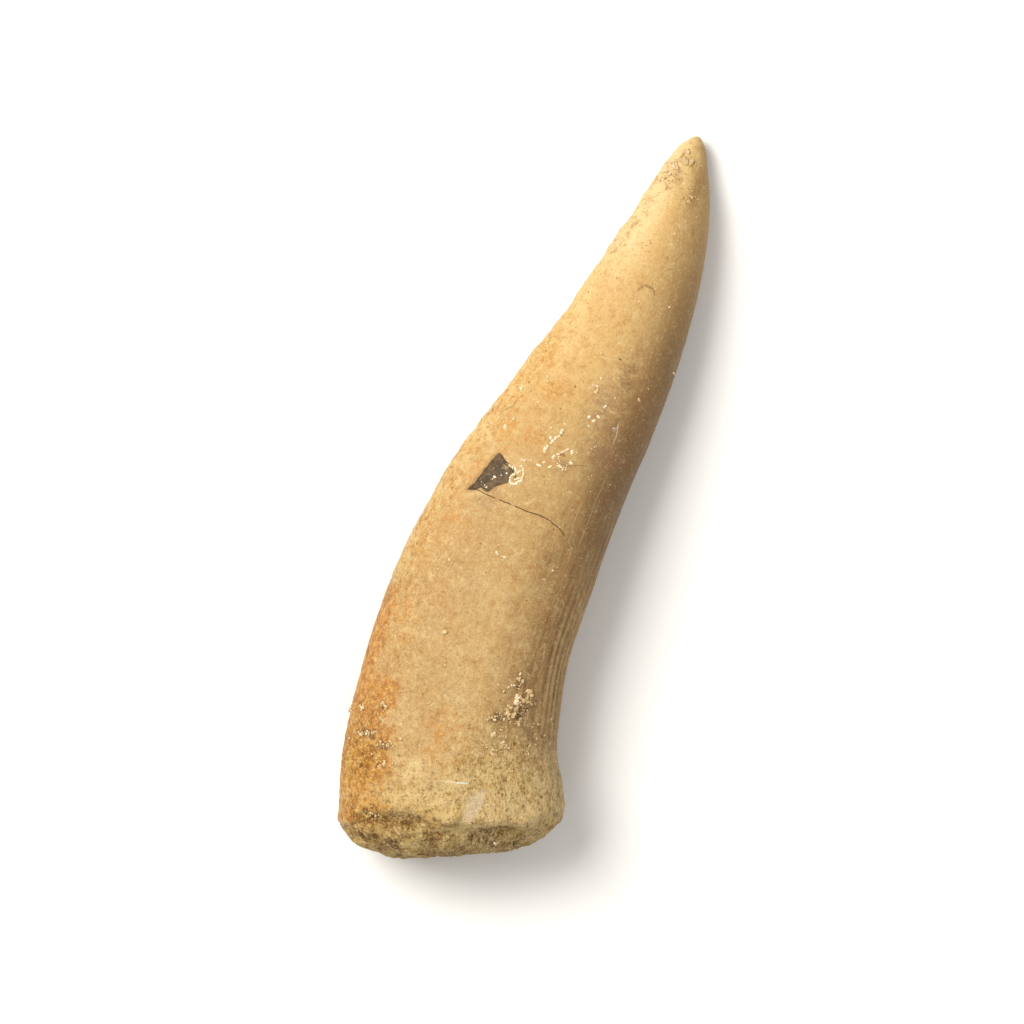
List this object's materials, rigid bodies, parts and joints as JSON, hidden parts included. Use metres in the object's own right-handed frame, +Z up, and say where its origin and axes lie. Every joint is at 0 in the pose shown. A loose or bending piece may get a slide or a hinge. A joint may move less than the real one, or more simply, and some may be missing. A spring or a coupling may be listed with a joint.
{
  "type": "fossil fish tooth",
  "caption": "Curved fossil fish fang lying on its side, with a broken rough base, a chip, a crack and cemented sand grains.",
  "frame": {"origin": "middle of the plan box, at the level that the tooth rests on", "axes": "+Y from the broken base towards the tip, +X towards the hollow side of the curve, +Z up"},
  "size_m": [0.0158, 0.0515, 0.0094],
  "materials": {
    "tooth": "worn honey-tan fossil enamel and dentine, satin, with cream sand crusts and an ochre stain"
  },
  "bodies": {
    "root": {"tooth": "tooth"}
  },
  "joints": []
}
